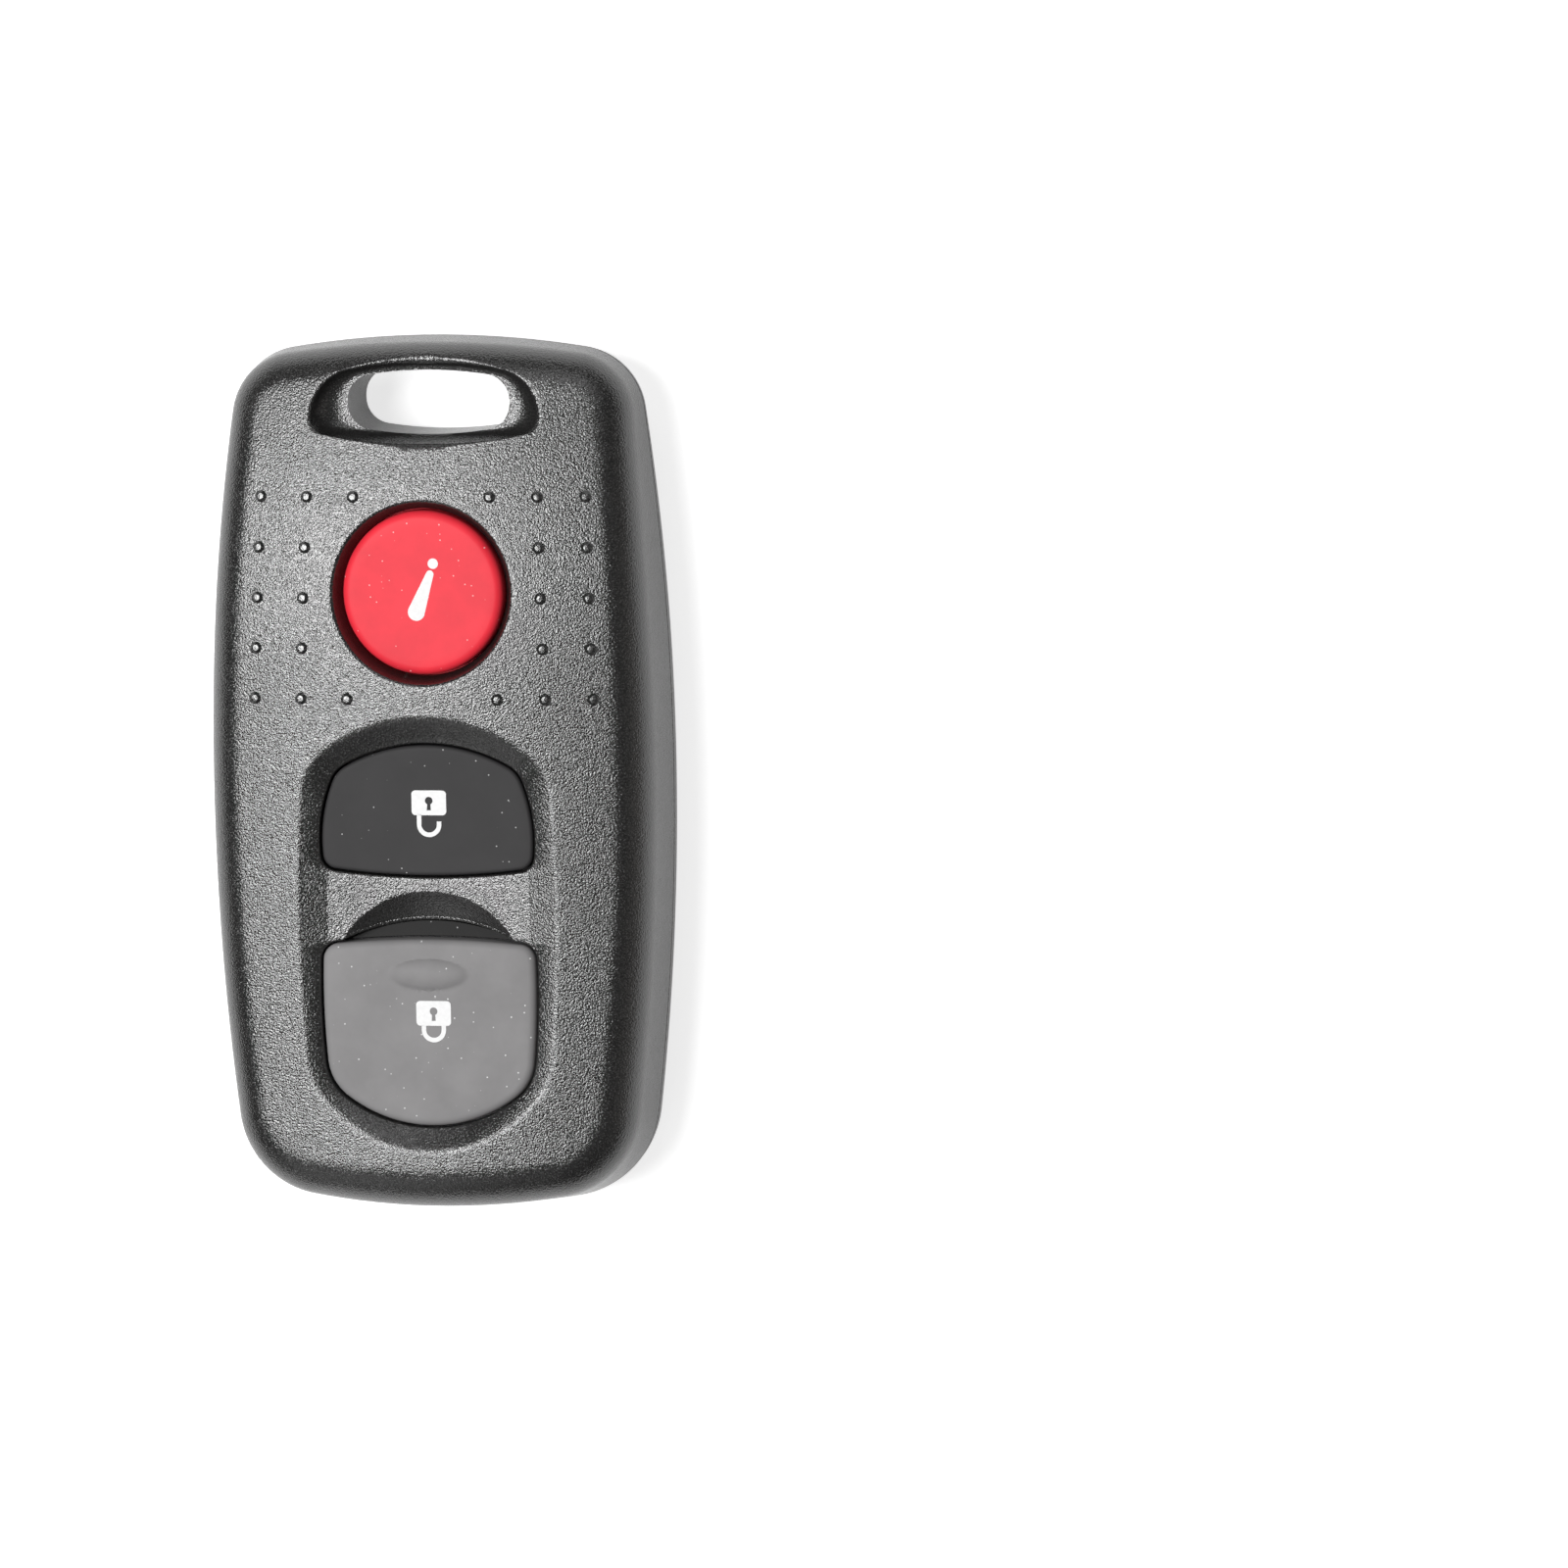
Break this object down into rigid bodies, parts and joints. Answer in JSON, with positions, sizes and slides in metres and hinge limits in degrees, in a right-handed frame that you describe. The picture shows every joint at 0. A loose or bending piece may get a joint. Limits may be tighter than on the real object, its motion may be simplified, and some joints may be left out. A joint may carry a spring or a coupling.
{
  "type": "car key fob",
  "caption": "Slim car key fob with lock, unlock and panic push keys, a snap-together case with a key ring slot, and its circuit board and coin cell inside.",
  "frame": {"origin": "centre of the case's outline, on the plane of its flat back", "axes": "+X across the case, to the right seen from the front; +Y along it towards the key ring slot; +Z out of the flat back towards the keys"},
  "size_m": [0.0356, 0.067, 0.0134],
  "materials": {
    "shell_plastic": "fine-grained moulded texture, charcoal",
    "mat_rubber": "smooth dark silicone",
    "grey_key_plastic": "matte mid grey, white printed sign",
    "dark_key_plastic": "matte dark grey, white printed sign",
    "red_key_plastic": "satin red, white printed sign",
    "board_laminate": "green solder mask",
    "copper": "thin copper line",
    "chip_resin": "black moulding resin",
    "tinned_metal": "bright tin",
    "ceramic": "cream ceramic",
    "can_steel": "plain steel sheet",
    "resistor_ceramic": "glazed black",
    "capacitor_ceramic": "tan ceramic",
    "spring_steel": "thin spring sheet",
    "gasket_nylon": "natural nylon",
    "cathode_powder": "pressed dark powder",
    "separator_felt": "thin white felt",
    "anode_metal": "soft grey metal",
    "switch_plastic": "black moulded base",
    "plunger_plastic": "smooth plunger"
  },
  "bodies": {
    "case": {"front_case": "shell_plastic", "back_case": "shell_plastic", "key_mat": "mat_rubber", "circuit_board": "board_laminate", "antenna_loop": "copper", "chip_body": "chip_resin", "chip_leads": "tinned_metal", "crystal_base": "ceramic", "crystal_can": "can_steel", "resistors": "resistor_ceramic", "capacitors": "capacitor_ceramic", "minus_contact": "spring_steel", "plus_contact": "spring_steel", "cell_can": "can_steel", "cell_gasket": "gasket_nylon", "cell_cap": "can_steel", "cell_cathode": "cathode_powder", "cell_separator": "separator_felt", "cell_anode": "anode_metal", "lock_switch_base": "switch_plastic", "lock_switch_cover": "can_steel", "lock_switch_dome": "spring_steel", "lock_switch_terminals": "tinned_metal", "unlock_switch_base": "switch_plastic", "unlock_switch_cover": "can_steel", "unlock_switch_dome": "spring_steel", "unlock_switch_terminals": "tinned_metal", "panic_switch_base": "switch_plastic", "panic_switch_cover": "can_steel", "panic_switch_dome": "spring_steel", "panic_switch_terminals": "tinned_metal"},
    "lock_key": {"lock_key": "grey_key_plastic"},
    "lock_plunger": {"lock_switch_plunger": "plunger_plastic"},
    "unlock_key": {"unlock_key": "dark_key_plastic"},
    "unlock_plunger": {"unlock_switch_plunger": "plunger_plastic"},
    "panic_key": {"panic_key": "red_key_plastic"},
    "panic_plunger": {"panic_switch_plunger": "plunger_plastic"}
  },
  "joints": [
    {"name": "lock_key_press", "type": "slide", "parent": "case", "child": "lock_key", "axis": [0, 0, -1], "range_m": [0, 0.0003], "stiffness_N_per_m": 4000},
    {"name": "lock_plunger_press", "type": "slide", "parent": "case", "child": "lock_plunger", "axis": [0, 0, -1], "range_m": [0, 0.0003]},
    {"name": "unlock_key_press", "type": "slide", "parent": "case", "child": "unlock_key", "axis": [0, 0, -1], "range_m": [0, 0.0003], "stiffness_N_per_m": 4000},
    {"name": "unlock_plunger_press", "type": "slide", "parent": "case", "child": "unlock_plunger", "axis": [0, 0, -1], "range_m": [0, 0.0003]},
    {"name": "panic_key_press", "type": "slide", "parent": "case", "child": "panic_key", "axis": [0, 0, -1], "range_m": [0, 0.0003], "stiffness_N_per_m": 4000},
    {"name": "panic_plunger_press", "type": "slide", "parent": "case", "child": "panic_plunger", "axis": [0, 0, -1], "range_m": [0, 0.0003]}
  ],
  "couplings": [
    {"joint": "lock_plunger_press", "follows": "lock_key_press", "ratio": 1},
    {"joint": "unlock_plunger_press", "follows": "unlock_key_press", "ratio": 1},
    {"joint": "panic_plunger_press", "follows": "panic_key_press", "ratio": 1}
  ]
}
